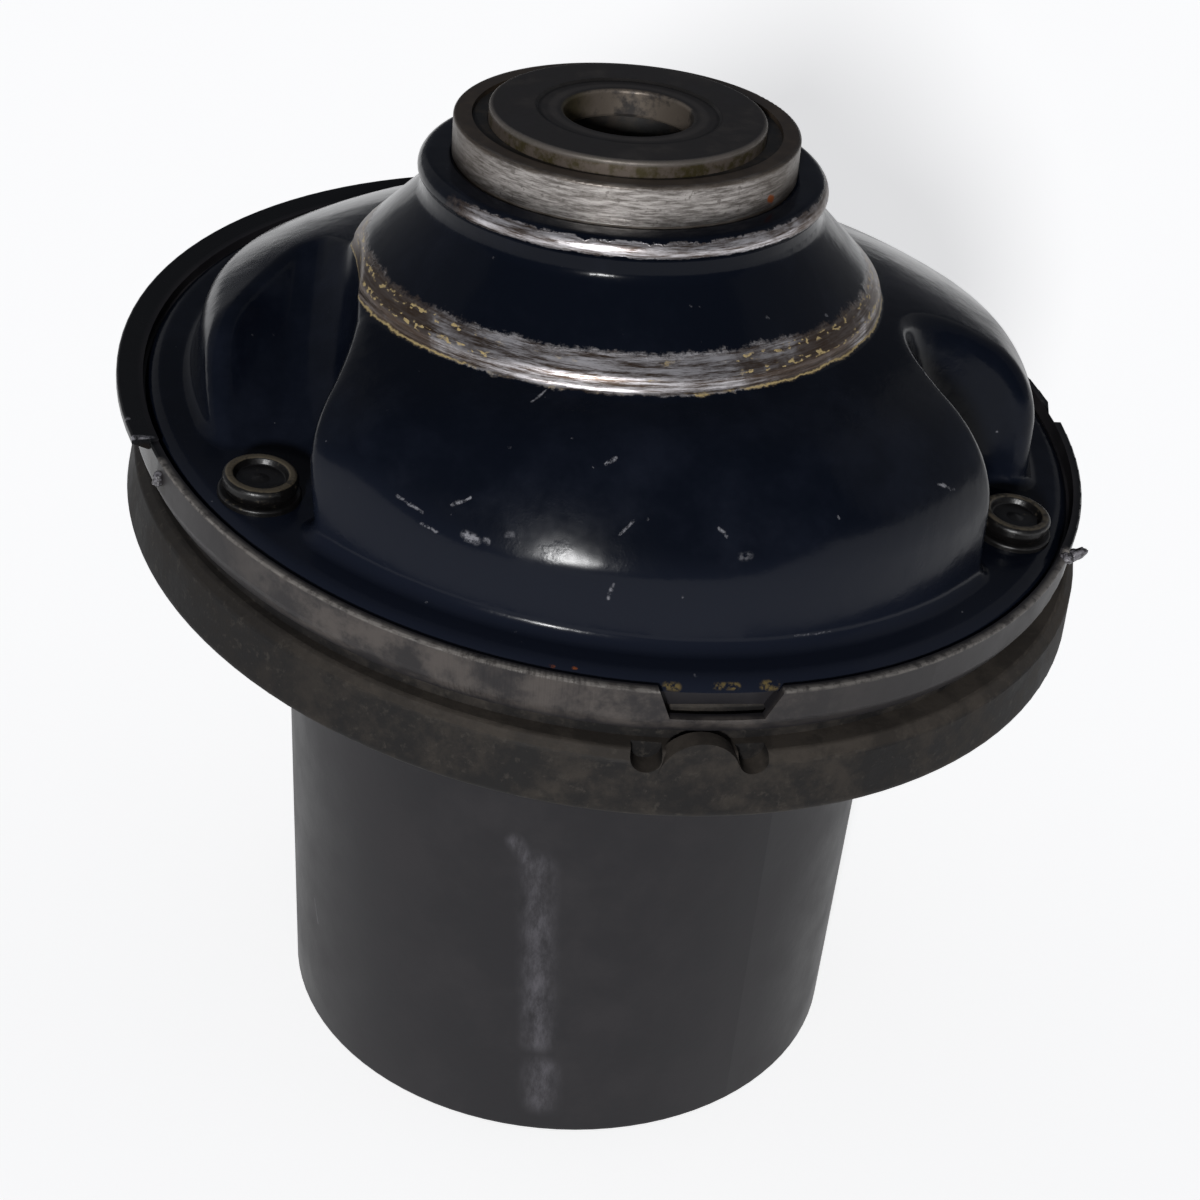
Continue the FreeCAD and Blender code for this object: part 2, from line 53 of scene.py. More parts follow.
def placeCamera(values):
    turn = math.radians(values["turn"])
    tilt = math.radians(values["tilt"])
    roll = math.radians(values["roll"])
    level = math.cos(tilt)
    ahead = Vector((math.sin(turn) * level, math.cos(turn) * level, -math.sin(tilt)))
    across = Vector((math.cos(turn), -math.sin(turn), 0.0))
    above = across.cross(ahead)
    side = math.cos(roll) * across + math.sin(roll) * above
    top = math.cos(roll) * above - math.sin(roll) * across
    lens = bpy.data.cameras.new("studioCamera")
    lens.sensor_width = values["sensor"]
    lens.lens = values["sensor"] * values["focalShare"]
    lens.clip_start = values["clipStart"]
    camera = bpy.data.objects.new("studioCamera", lens)
    stand = Matrix((side, top, -ahead)).transposed().to_4x4()
    stand.translation = Vector(values["place"])
    camera.matrix_world = stand
    bpy.context.scene.collection.objects.link(camera)
    bpy.context.scene.camera = camera


placeCamera(cameraValues)

# the key stands near the camera like a flash, so highlights lie where the surface faces it
# lengths are in metres and angles in degrees
lightValues = {
    "world": "#c8ccd8",
    "worldStrength": 0.15,
    "keyStrength": 2.8,
    "keyAngle": 7.0,
    "keyDirection": (-0.12, -0.94, 0.27),
    "sideStrength": 0.19,
    "sideAngle": 75.0,
    "leftDirection": (-0.85, 0.42, 0.30),
    "rightDirection": (0.88, 0.36, 0.30),
    "floorHeight": -0.1676,
    "floorReach": 30.0,  # so wide that low views from the sides don't see its end
    "floorCard": "#fdfdfd",
    "floorGlowColour": "#ffffff",
    "floorGlow": 0.6,
}


def linear(code):
    # an sRGB hex code as a linear colour
    parts = [int(code[i:i + 2], 16) / 255 for i in (1, 3, 5)]
    return tuple(c / 12.92 if c <= 0.04045 else ((c + 0.055) / 1.055) ** 2.4 for c in parts) + (1.0,)


def feed(tree, node, inputs):
    for key, value in inputs.items():
        if isinstance(value, bpy.types.NodeSocket):
            tree.links.new(value, node.inputs[key])
        else:
            node.inputs[key].default_value = value


def add(tree, kind, inputs=None, **settings):
    made = tree.nodes.new("ShaderNode" + kind)
    for name, value in settings.items():
        setattr(made, name, value)
    feed(tree, made, inputs or {})
    return made


def calc(tree, operation, first, second=0.0, clamped=False):
    return add(tree, "Math", {0: first, 1: second}, operation=operation, use_clamp=clamped).outputs[0]


def newMaterial(name):
    material = bpy.data.materials.new(name)
    material.use_nodes = True
    return material, material.node_tree, material.node_tree.nodes["Principled BSDF"]


def lightTheScene(values):
    scene = bpy.context.scene
    scene.view_settings.view_transform = "Standard"
    world = bpy.data.worlds.new("studioWorld")
    world.use_nodes = True
    back = world.node_tree.nodes["Background"]
    back.inputs["Color"].default_value = linear(values["world"])
    back.inputs["Strength"].default_value = values["worldStrength"]
    scene.world = world
    for name, power, spread, direction in (
        ("keyLight", "keyStrength", "keyAngle", "keyDirection"),
        ("leftLight", "sideStrength", "sideAngle", "leftDirection"),
        ("rightLight", "sideStrength", "sideAngle", "rightDirection"),
    ):
        lamp = bpy.data.lights.new(name, "SUN")
        lamp.energy = values[power]
        lamp.angle = math.radians(values[spread])
        holder = bpy.data.objects.new(name, lamp)
        holder.rotation_euler = Vector(values[direction]).to_track_quat("Z", "Y").to_euler()
        scene.collection.objects.link(holder)


def layFloor(values):
    shape = bmesh.new()
    bmesh.ops.create_grid(shape, x_segments=1, y_segments=1, size=values["floorReach"])
    bmesh.ops.translate(shape, vec=(0, 0, values["floorHeight"]), verts=shape.verts)
    mesh = bpy.data.meshes.new("studioFloor")
    shape.to_mesh(mesh)
    shape.free()
    floor = bpy.data.objects.new("studioFloor", mesh)
    bpy.context.scene.collection.objects.link(floor)
    # matt white card: no gloss, so it only takes the shadow
    # it glows a little to the camera and in reflections, and lights nothing else
    material, tree, shader = newMaterial("mattWhiteCard")
    path = add(tree, "LightPath").outputs
    seen = calc(tree, "MAXIMUM", path["Is Camera Ray"], path["Is Glossy Ray"])
    seen = calc(tree, "MAXIMUM", seen, path["Is Transmission Ray"])
    feed(tree, shader, {
        "Base Color": linear(values["floorCard"]),
        "Roughness": 1.0,
        "Specular IOR Level": 0.0,
        "Emission Color": linear(values["floorGlowColour"]),
        "Emission Strength": calc(tree, "MULTIPLY", seen, values["floorGlow"]),
    })
    mesh.materials.append(material)


lightTheScene(lightValues)
layFloor(lightValues)
print("camera, light and floor placed")


perMetre = 1000.0  # millimetres
patternMiddle = 0.5  # the middle of a noise pattern's values


def surfaceAt(tree):
    # object coordinates in millimetres
    coords = add(tree, "TexCoord").outputs["Object"]
    return add(tree, "VectorMath", {0: coords, "Scale": perMetre}, operation="SCALE").outputs[0]


def axesOf(tree, at, *wanted):
    # those of the three coordinates and the distance from the strut's axis that are asked for
    x, y, z = add(tree, "SeparateXYZ", {0: at}).outputs
    across = add(tree, "CombineXYZ", {0: x, 1: y}).outputs[0]
    radius = add(tree, "VectorMath", {0: across}, operation="LENGTH").outputs["Value"]
    found = {"x": x, "y": y, "z": z, "radius": radius}
    return [found[name] for name in wanted]


# the flange and all that lies on it are tilted: a point on their own axis, in millimetres, and its direction
seatCentre = (1.8, 6.5, -51.1)
seatUp = (0.079603, -0.059702, 0.995037)


def seatSpace(tree, at):
    # height over the flange's own plane and distance from its own axis, in millimetres
    away = add(tree, "VectorMath", {0: at, 1: seatCentre}, operation="SUBTRACT").outputs[0]
    height = add(tree, "VectorMath", {0: away, 1: seatUp}, operation="DOT_PRODUCT").outputs["Value"]
    lift = add(tree, "VectorMath", {0: seatUp, "Scale": height}, operation="SCALE").outputs[0]
    reach = add(tree, "VectorMath", {0: away, 1: lift}, operation="DISTANCE").outputs["Value"]
    return height, reach


def ramp(tree, value, start, end, low=0.0, high=1.0):
    inputs = {0: value, 1: start, 2: end, 3: low, 4: high}
    return add(tree, "MapRange", inputs, interpolation_type="SMOOTHSTEP").outputs[0]


def blotches(tree, at, size, detail=4.0, roughness=0.6, squeeze=(1, 1, 1)):
    # size is the width of one patch in millimetres
    scaled = add(tree, "VectorMath", {0: at, 1: squeeze}, operation="MULTIPLY").outputs[0]
    inputs = {"Vector": scaled, "Scale": 1.0 / size, "Detail": detail, "Roughness": roughness}
    return add(tree, "TexNoise", inputs).outputs[0]


def patternsOf(tree, at, values):
    # each pattern's own values are its size in millimetres, its detail, its roughness and its squeeze
    return {name: blotches(tree, at, *pattern) for name, pattern in values["patterns"].items()}


def tint(tree, share, under, over):
    # each of the two colours is a hex code or another node's colour
    under, over = (linear(colour) if isinstance(colour, str) else colour for colour in (under, over))
    return add(tree, "Mix", {0: share, 6: under, 7: over}, data_type="RGBA").outputs[2]


def plus(tree, first, second, share=None):
    # the sum, of which the second can be taken by a share only
    if share is not None:
        second = calc(tree, "MULTIPLY", second, share)
    return calc(tree, "ADD", first, second)


def times(tree, first, *shares):
    for share in shares:
        first = calc(tree, "MULTIPLY", first, share)
    return first


def most(tree, first, second):
    return calc(tree, "MAXIMUM", first, second)


def jitter(tree, pattern, span):
    # a pattern as a shift to either side, at most as wide as the span in all
    return calc(tree, "MULTIPLY", calc(tree, "SUBTRACT", pattern, patternMiddle), span)


def gapTo(tree, value, line):
    return calc(tree, "ABSOLUTE", calc(tree, "SUBTRACT", value, line))


def smear(tree, at, start, end, width, edge=0.5):
    # a capsule-shaped mark from start to end, in millimetres, soft over its edge share
    line = Vector(end) - Vector(start)
    perLength = line / line.length_squared
    away = add(tree, "VectorMath", {0: at, 1: start}, operation="SUBTRACT").outputs[0]
    along = add(tree, "VectorMath", {0: away, 1: perLength}, operation="DOT_PRODUCT").outputs["Value"]
    held = calc(tree, "ADD", along, 0.0, clamped=True)
    foot = add(tree, "VectorMath", {0: tuple(line), "Scale": held}, operation="SCALE").outputs[0]
    gap = add(tree, "VectorMath", {0: away, 1: foot}, operation="DISTANCE").outputs["Value"]
    return ramp(tree, gap, width, width * edge)


def allOf(tree, masks):
    total = masks[0]
    for mask in masks[1:]:
        total = most(tree, total, mask)
    return total


def smears(tree, at, places):
    return allOf(tree, [smear(tree, at, *place) for place in places])


def bump(tree, height, distance, strength, under=None):
    # the distance is in millimetres, and one bump can lie over another
    inputs = {"Height": height, "Distance": distance / perMetre, "Strength": strength}
    if under is not None:
        inputs["Normal"] = under
    return add(tree, "Bump", inputs).outputs[0]


def dress(node, material):
    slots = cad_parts[node].data.materials
    slots.clear()
    slots.append(material)


# spring seat: deep-drawn steel in black dip coat, so glossy navy black, with bare metal where it rubs
seatValues = {
    "coat": "#090d16",
    "coatHaze": "#181c27",
    "bareSteel": "#d6d3d6",
    "dullSteel": "#4e4138",
    "primer": "#a8956a",
    "rust": "#6b3a20",
    "dust": "#9a9aa0",
    "dirt": "#5b4f33",
    "coatRoughness": 0.17,
    "coatSpecular": 0.12,
    "hazeRoughness": 0.2,
    "steelRoughness": 0.35,
    "steelMetallic": 0.85,
    "patterns": {
        "ragged": (5.0, 6.0, 0.75),
        "fine": (1.1, 3.0, 0.7),
        "streak": (0.8, 6.0, 0.8, (0.1, 0.1, 1.6)),
        "browning": (10.0, 4.0, 0.65),
        "grain": (0.55, 2.0, 0.5, (0.4, 0.4, 1.0)),
        "haze": (22.0, 5.0, 0.65),
        "torn": (0.8, 5.0, 0.8),
        "speckle": (1.2, 1.0, 0.3),
        "rubbed": (0.9, 4.0, 0.7, (1.0, 1.0, 0.6)),
        "rubbedPlaces": (6.0, 4.0, 0.7),
        "uneven": (7.0, 2.0, 0.5),
    },
    # how far the ragged and the fine pattern move an edge, and the share of it that each edge takes
    "raggedShift": 2.6,
    "fineShift": 1.4,
    "footLowerShift": 0.45,
    "footUpperShift": 1.1,
    "beadShift": 0.7,
    "beadSideShift": 5.0,
    # worn band round the cone's foot
    "footLower": (-25.6, -25.35),
    "footUpper": (-20.0, -21.1),
    "footInside": (36.8, 38.0),
    "footOutside": (44.5, 44.2),
    "sides": (12.0, 34.0),
    "sideBrowning": 0.3,
    "streakCut": (0.38, 0.62),
    "brownCut": (0.52, 0.8, 0.0, 0.9),
    "grainCut": (0.54, 0.6),
    "fleckRows": (-21.3, -23.0),
    "fleckRowWidth": (0.5, 0.25),
    "fleckRim": (-25.05, -25.35),
    "fleckCut": (0.5, 0.66),
    # worn crown of the bead
    "beadLower": (-8.6, -8.3),
    "beadUpper": (-6.1, -6.4),
    "beadInside": (31.6, 31.9),
    "beadLeft": (-27.0, -19.0),
    "beadFront": (14.0, -24.0),
    "beadFrontShare": 0.3,
    "wornCut": (0.52, 0.62),
    # the coat's haze, its marks with their width and strength, its rust and its dirt
    "hazeCut": (0.42, 0.75, 0.0, 0.6),
    "flangeReach": (67.0, 72.0, 0.0, 0.8),
    "flangeFront": (-20.0, -50.0),
    "tornCut": (0.4, 0.6),
    "speckleCut": (0.77, 0.81, 0.0, 0.3),
    "dirtCut": (0.42, 0.6),
    "driftScale": 0.7,
    "driftDetail": 3.0,
    "markWander": 0.9,
    "markEdge": 0.2,
    "marks": [
        ((-10.6, -46.2, -26.6), (-8.5, -43.1, -25.6), 0.25, 0.9),
        ((-28.9, -55.7, -38.9), (-25.1, -57.5, -40.3), 0.35, 0.55),
        ((-25.0, -58.2, -41.9), (-22.7, -59.1, -42.5), 0.35, 0.55),
        ((-18.4, -60.1, -42.0), (-16.8, -60.7, -42.3), 1.0, 0.65),
        ((-15.6, -60.9, -42.2), (-15.1, -61.0, -42.2), 0.6, 0.5),
        ((-12.4, -61.0, -40.8), (-11.6, -61.1, -40.8), 0.7, 0.25),
        ((-20.8, -57.8, -38.6), (-18.2, -57.6, -37.2), 0.35, 0.7),
        ((3.9, -61.2, -39.0), (5.7, -60.0, -37.2), 0.3, 0.5),
        ((18.0, -58.4, -38.2), (19.4, -58.8, -39.2), 0.3, 0.6),
        ((1.0, -55.3, -31.0), (2.4, -54.5, -30.3), 0.38, 0.8),
        ((2.9, -64.4, -48.0), (3.5, -64.1, -45.6), 0.3, 0.55),
        ((21.8, -59.9, -41.9), (22.8, -59.5, -41.8), 0.9, 0.25),
        ((51.4, -40.4, -37.5), (52.6, -39.8, -38.2), 0.35, 0.7),
        ((52.4, -39.9, -37.6), (53.7, -39.2, -38.8), 0.35, 0.7),
        ((53.4, -39.4, -37.9), (54.9, -38.6, -39.6), 0.35, 0.6),
        ((31.2, -58.3, -55.5), (36.6, -55.6, -56.0), 0.22, 0.3),
        ((-46.0, -56.0, -49.6), (-44.4, -57.0, -49.8), 0.5, 0.4),
    ],
    "rustSpots": [
        ((-4.5, -71.3, -56.1), (-4.1, -71.3, -56.1), 0.35),
        ((-1.2, -71.2, -56.1), (-0.8, -71.2, -56.1), 0.3),
    ],
    "dirtPlaces": [
        ((12.6, -71.6, -57.6), (14.0, -71.4, -57.8), 1.1),
        ((19.6, -69.9, -58.0), (22.8, -69.0, -58.3), 0.8),
        ((27.0, -67.8, -58.6), (28.4, -67.2, -58.7), 1.1),
    ],
    # how uneven the pressing is and how scratched: a bump is a distance in millimetres and a strength
    "rubbedCut": (0.46, 0.62),
    "rubbedDepth": 0.16,
    "unevenBump": (0.25, 0.4),
    "scratchDepth": 0.35,
    "wornBump": (0.1, 0.7),
}


def strayed(tree, at, values):
    # coordinates that wander a little, so that no mark is quite straight
    noiseInputs = {"Vector": at, "Scale": values["driftScale"], "Detail": values["driftDetail"]}
    drift = add(tree, "TexNoise", noiseInputs).outputs["Color"]
    drift = add(tree, "VectorMath", {0: drift, 1: (patternMiddle,) * 3}, operation="SUBTRACT").outputs[0]
    drift = add(tree, "VectorMath", {0: drift, "Scale": values["markWander"]}, operation="SCALE").outputs[0]
    return add(tree, "VectorMath", {0: at, 1: drift}, operation="ADD").outputs[0]


def dipCoatedSteel(values):
    material, tree, shader = newMaterial("dipCoatedSteel")
    at = surfaceAt(tree)
    x, y, z, radius = axesOf(tree, at, "x", "y", "z", "radius")
    look = patternsOf(tree, at, values)
    wander = plus(
        tree,
        jitter(tree, look["ragged"], values["raggedShift"]),
        jitter(tree, look["fine"], values["fineShift"]),
    )
    sides = ramp(tree, calc(tree, "ABSOLUTE", x), *values["sides"])
    # worn band round the foot of the cone: a sharp ragged lower edge and a softly rubbed upper one
    lowerEdge = plus(tree, z, wander, values["footLowerShift"])
    upperEdge = plus(tree, z, wander, values["footUpperShift"])
    foot = times(
        tree,
        ramp(tree, lowerEdge, *values["footLower"]),
        ramp(tree, upperEdge, *values["footUpper"]),
        ramp(tree, radius, *values["footInside"]),
        ramp(tree, radius, *values["footOutside"]),
    )
    # bead rubbed through along its crown, most of all in front
    beadHeight = plus(tree, z, wander, values["beadShift"])
    beadSide = plus(tree, x, wander, values["beadSideShift"])
    frontmost = plus(tree, look["ragged"], ramp(tree, y, *values["beadFront"]), values["beadFrontShare"])
    bead = times(
        tree,
        ramp(tree, beadHeight, *values["beadLower"]),
        ramp(tree, beadHeight, *values["beadUpper"]),
        ramp(tree, radius, *values["beadInside"]),
        ramp(tree, frontmost, *values["wornCut"]),
        ramp(tree, beadSide, *values["beadLeft"]),
    )
    worn = most(tree, foot, bead)
    # the rubbed steel has scratches that run round the mount, and is browner at the sides
    scratches = ramp(tree, look["streak"], *values["streakCut"])
    steel = tint(tree, scratches, values["dullSteel"], values["bareSteel"])
    brown = ramp(tree, plus(tree, look["browning"], sides, values["sideBrowning"]), *values["brownCut"])
    steel = tint(tree, brown, steel, values["dullSteel"])
    # flecks of primer lie in two rows and along the lower edge
    rows = [ramp(tree, gapTo(tree, lowerEdge, row), *values["fleckRowWidth"]) for row in values["fleckRows"]]
    grains = times(tree, allOf(tree, rows), ramp(tree, look["grain"], *values["grainCut"]))
    fleck = times(
        tree,
        most(tree, grains, ramp(tree, lowerEdge, *values["fleckRim"])),
        ramp(tree, plus(tree, look["ragged"], sides, values["sideBrowning"]), *values["fleckCut"]),
        foot,
    )
    steel = tint(tree, fleck, steel, values["primer"])
    # the coat: a faint haze of dust, more of it on the flange in front
    haze = ramp(tree, look["haze"], *values["hazeCut"])
    reach = seatSpace(tree, at)[1]
    flange = times(tree, ramp(tree, reach, *values["flangeReach"]), ramp(tree, y, *values["flangeFront"]))
    coat = tint(tree, most(tree, haze, flange), values["coat"], values["coatHaze"])
    # its scuffs and specks of dust, its two rust spots and the dirt by the notch
    torn = ramp(tree, look["torn"], *values["tornCut"])
    astray = strayed(tree, at, values)
    marks = [
        times(tree, smear(tree, astray, start, end, width, values["markEdge"]), share)
        for start, end, width, share in values["marks"]
    ]
    scuffs = times(tree, allOf(tree, marks), torn)
    speckle = times(
        tree,
        ramp(tree, look["speckle"], *values["speckleCut"]),
        ramp(tree, look["ragged"], *values["wornCut"]),
    )
    coat = tint(tree, most(tree, scuffs, speckle), coat, values["dust"])
    coat = tint(tree, times(tree, smears(tree, at, values["rustSpots"]), torn), coat, values["rust"])
    dirt = times(tree, smears(tree, at, values["dirtPlaces"]), ramp(tree, look["fine"], *values["dirtCut"]))
    coat = tint(tree, dirt, coat, values["dirt"])
    # the pressing is a little uneven, and fine scuffs break up its highlights
    rubbed = times(tree, look["rubbed"], ramp(tree, look["rubbedPlaces"], *values["rubbedCut"]))
    uneven = bump(tree, plus(tree, look["uneven"], rubbed, values["rubbedDepth"]), *values["unevenBump"])
    scratched = calc(tree, "SUBTRACT", times(tree, look["streak"], values["scratchDepth"]), 1.0)
    gloss = plus(tree, values["coatRoughness"], most(tree, haze, scuffs), values["hazeRoughness"])
    roughInputs = {0: worn, 2: gloss, 3: values["steelRoughness"]}
    feed(tree, shader, {
        "Base Color": tint(tree, worn, coat, steel),
        "Metallic": times(tree, worn, calc(tree, "SUBTRACT", 1.0, fleck), values["steelMetallic"]),
        "Roughness": add(tree, "Mix", roughInputs, data_type="FLOAT").outputs[0],
        "Specular IOR Level": values["coatSpecular"],
        "Normal": bump(tree, times(tree, scratched, worn), *values["wornBump"], uneven),
    })
    return material


# bearing disc: rolled steel, blackened, so matt and near black with fine turning lines
discValues = {
    "face": "#343130",
    "inner": "#2f2c2b",
    "pale": "#6a6561",
    "edge": "#625850",
    "line": "#141312",
    "bore": "#6a6158",
    "grease": "#3f3820",
    "metallic": 0.55,
    "roughness": (0.3, 0.8, 0.42, 0.62),
    "patterns": {"mottled": (6.0, 5.0, 0.65), "wallStain": (3.0, 5.0, 0.7)},
    "turningScale": 1.4,
    "turningDetail": 3.0,
    "turningDepth": 0.5,
    "innerRadius": (14.6, 14.2),
    "paleCut": (0.45, 0.8, 0.0, 0.25),
    "paleRingRadius": 12.0,
    "paleRingWidth": (1.1, 0.2, 0.0, 0.25),
    "lineRadius": 14.3,
    "lineWidth": (0.7, 0.2, 0.0, 0.8),
    "lineCut": (0.35, 0.6, 0.3, 1.0),
    "wallCut": (0.4, 0.62),
    "wallRadius": (21.5, 21.8),
    "edgeRadius": (21.2, 21.6),
    "edgeHeight": (1.5, 1.9),
    "edgeShare": 0.7,
    "boreRadius": (10.9, 10.4),
    "boreCut": (0.45, 0.6),
    "stainSide": (-3.0, -6.0),
    "stainShift": 6.0,
    "stainShare": 0.8,
    "bump": (0.05, 0.5),
}


def blackenedSteel(values):
    material, tree, shader = newMaterial("blackenedSteel")
    at = surfaceAt(tree)
    x, z, radius = axesOf(tree, at, "x", "z", "radius")
    look = patternsOf(tree, at, values)
    mottled = look["mottled"]
    outward = add(tree, "CombineXYZ", {0: radius}).outputs[0]
    turning = {"Vector": outward, "Scale": values["turningScale"], "Detail": values["turningDetail"]}
    lines = add(tree, "TexNoise", turning).outputs[0]
    face = tint(tree, ramp(tree, radius, *values["innerRadius"]), values["face"], values["inner"])
    face = tint(tree, ramp(tree, mottled, *values["paleCut"]), face, values["pale"])
    paleRing = ramp(tree, gapTo(tree, radius, values["paleRingRadius"]), *values["paleRingWidth"])
    face = tint(tree, paleRing, face, values["pale"])
    groove = ramp(tree, gapTo(tree, radius, values["lineRadius"]), *values["lineWidth"])
    face = tint(tree, times(tree, groove, ramp(tree, mottled, *values["lineCut"])), face, values["line"])
    # its wall is brown where grease has dried, with a worn line along the edge
    wall = tint(tree, ramp(tree, look["wallStain"], *values["wallCut"]), values["edge"], values["grease"])
    face = tint(tree, ramp(tree, radius, *values["wallRadius"]), face, wall)
    worn = times(tree, ramp(tree, radius, *values["edgeRadius"]), ramp(tree, z, *values["edgeHeight"]))
    face = tint(tree, times(tree, worn, values["edgeShare"]), face, values["pale"])
    # the bore is barer, and stained on its left
    steel = tint(tree, ramp(tree, mottled, *values["boreCut"]), values["bore"], values["face"])
    stain = ramp(tree, plus(tree, x, mottled, values["stainShift"]), *values["stainSide"])
    steel = tint(tree, times(tree, stain, values["stainShare"]), steel, values["grease"])
    relief = plus(tree, times(tree, lines, values["turningDepth"]), mottled)
    feed(tree, shader, {
        "Base Color": tint(tree, ramp(tree, radius, *values["boreRadius"]), face, steel),
        "Metallic": values["metallic"],
        "Roughness": ramp(tree, mottled, *values["roughness"]),
        "Normal": bump(tree, relief, *values["bump"]),
    })
    return material


# bearing ring: bare turned steel, so bright with lines round it, and brown where old grease has dried;
# painted shade darkens it towards both sides
ringValues = {
    "steel": "#b3aeaa",
    "shade": "#67625e",
    "grease": "#3a3026",
    "ledge": "#4a4036",
    "rust": "#8a4a22",
    "roughness": (0.3, 0.8, 0.36, 0.55),
    "patterns": {
        "lines": (0.9, 5.0, 0.75, (0.22, 0.22, 2.0)),
        "mottled": (4.0, 5.0, 0.7),
        "specks": (1.2, 2.0),
    },
    "lineCut": (0.35, 0.65),
    "speckCut": (0.62, 0.7, 0.0, 0.7),
    "shadedSides": (15.0, 27.0, 0.0, 0.8),
    "ledgeShift": 1.6,
    "ledgeHeight": (-0.15, 0.35),
    "ledgeShare": 0.75,
    "insideRadius": (27.2, 26.6),
    "greaseCut": (0.4, 0.65),
    "greaseDulling": 0.6,
    "rustSpot": ((22.5, -15.7, -4.0), (22.9, -15.1, -4.3), 0.8),
    "bump": (0.04, 0.6),
}


def turnedSteel(values):
    material, tree, shader = newMaterial("turnedSteel")
    at = surfaceAt(tree)
    x, z, radius = axesOf(tree, at, "x", "z", "radius")
    look = patternsOf(tree, at, values)
    mottled = look["mottled"]
    steel = tint(tree, ramp(tree, look["lines"], *values["lineCut"]), values["shade"], values["steel"])
    steel = tint(tree, ramp(tree, look["specks"], *values["speckCut"]), steel, values["shade"])
    # painted shade: the steel turns to the grease colour towards both sides, away from the lamp in front
    sideShade = ramp(tree, calc(tree, "ABSOLUTE", x), *values["shadedSides"])
    steel = tint(tree, sideShade, steel, values["grease"])
    # dried grease lies on the ledge round the disc and inside the ring
    ledge = ramp(tree, plus(tree, z, jitter(tree, mottled, values["ledgeShift"])), *values["ledgeHeight"])
    inside = ramp(tree, radius, *values["insideRadius"])
    greasy = most(tree, times(tree, ledge, values["ledgeShare"]), inside)
    brown = tint(tree, ramp(tree, mottled, *values["greaseCut"]), values["grease"], values["ledge"])
    colour = tint(tree, greasy, steel, brown)
    feed(tree, shader, {
        "Base Color": tint(tree, smear(tree, at, *values["rustSpot"]), colour, values["rust"]),
        "Metallic": calc(tree, "SUBTRACT", 1.0, times(tree, greasy, values["greaseDulling"])),
        "Roughness": ramp(tree, mottled, *values["roughness"]),
        "Normal": bump(tree, plus(tree, look["lines"], mottled), *values["bump"]),
    })
    return material


# rivets and washers: blackened steel, worn to bronze where the rolled rim stands proud
rivetValues = {
    "coat": "#0c0b0b",
    "worn": "#8d816c",
    "roughness": (0.3, 0.8, 0.3, 0.5),
    "metallic": (0.0, 1.0, 0.1, 0.9),
    "patterns": {"mottled": (1.6, 5.0, 0.7)},
    "rimHeight": (3.8, 3.96),
    "rimCut": (0.36, 0.56, 0.15, 1.0),
    "wornSide": (45.0, 20.0, 0.3, 1.0),
    "spotCut": (0.6, 0.74, 0.0, 0.3),
    "bump": (0.08, 0.7),
}


def wornRivetSteel(values):
    material, tree, shader = newMaterial("wornRivetSteel")
    at = surfaceAt(tree)
    mottled = patternsOf(tree, at, values)["mottled"]
    x = axesOf(tree, at, "x")[0]
    height = seatSpace(tree, at)[0]
    rim = times(
        tree,
        ramp(tree, height, *values["rimHeight"]),
        ramp(tree, mottled, *values["rimCut"]),
        ramp(tree, x, *values["wornSide"]),
    )
    worn = most(tree, rim, ramp(tree, mottled, *values["spotCut"]))
    feed(tree, shader, {
        "Base Color": tint(tree, worn, values["coat"], values["worn"]),
        "Metallic": ramp(tree, worn, *values["metallic"]),
        "Roughness": ramp(tree, mottled, *values["roughness"]),
        "Normal": bump(tree, mottled, *values["bump"]),
    })
    return material


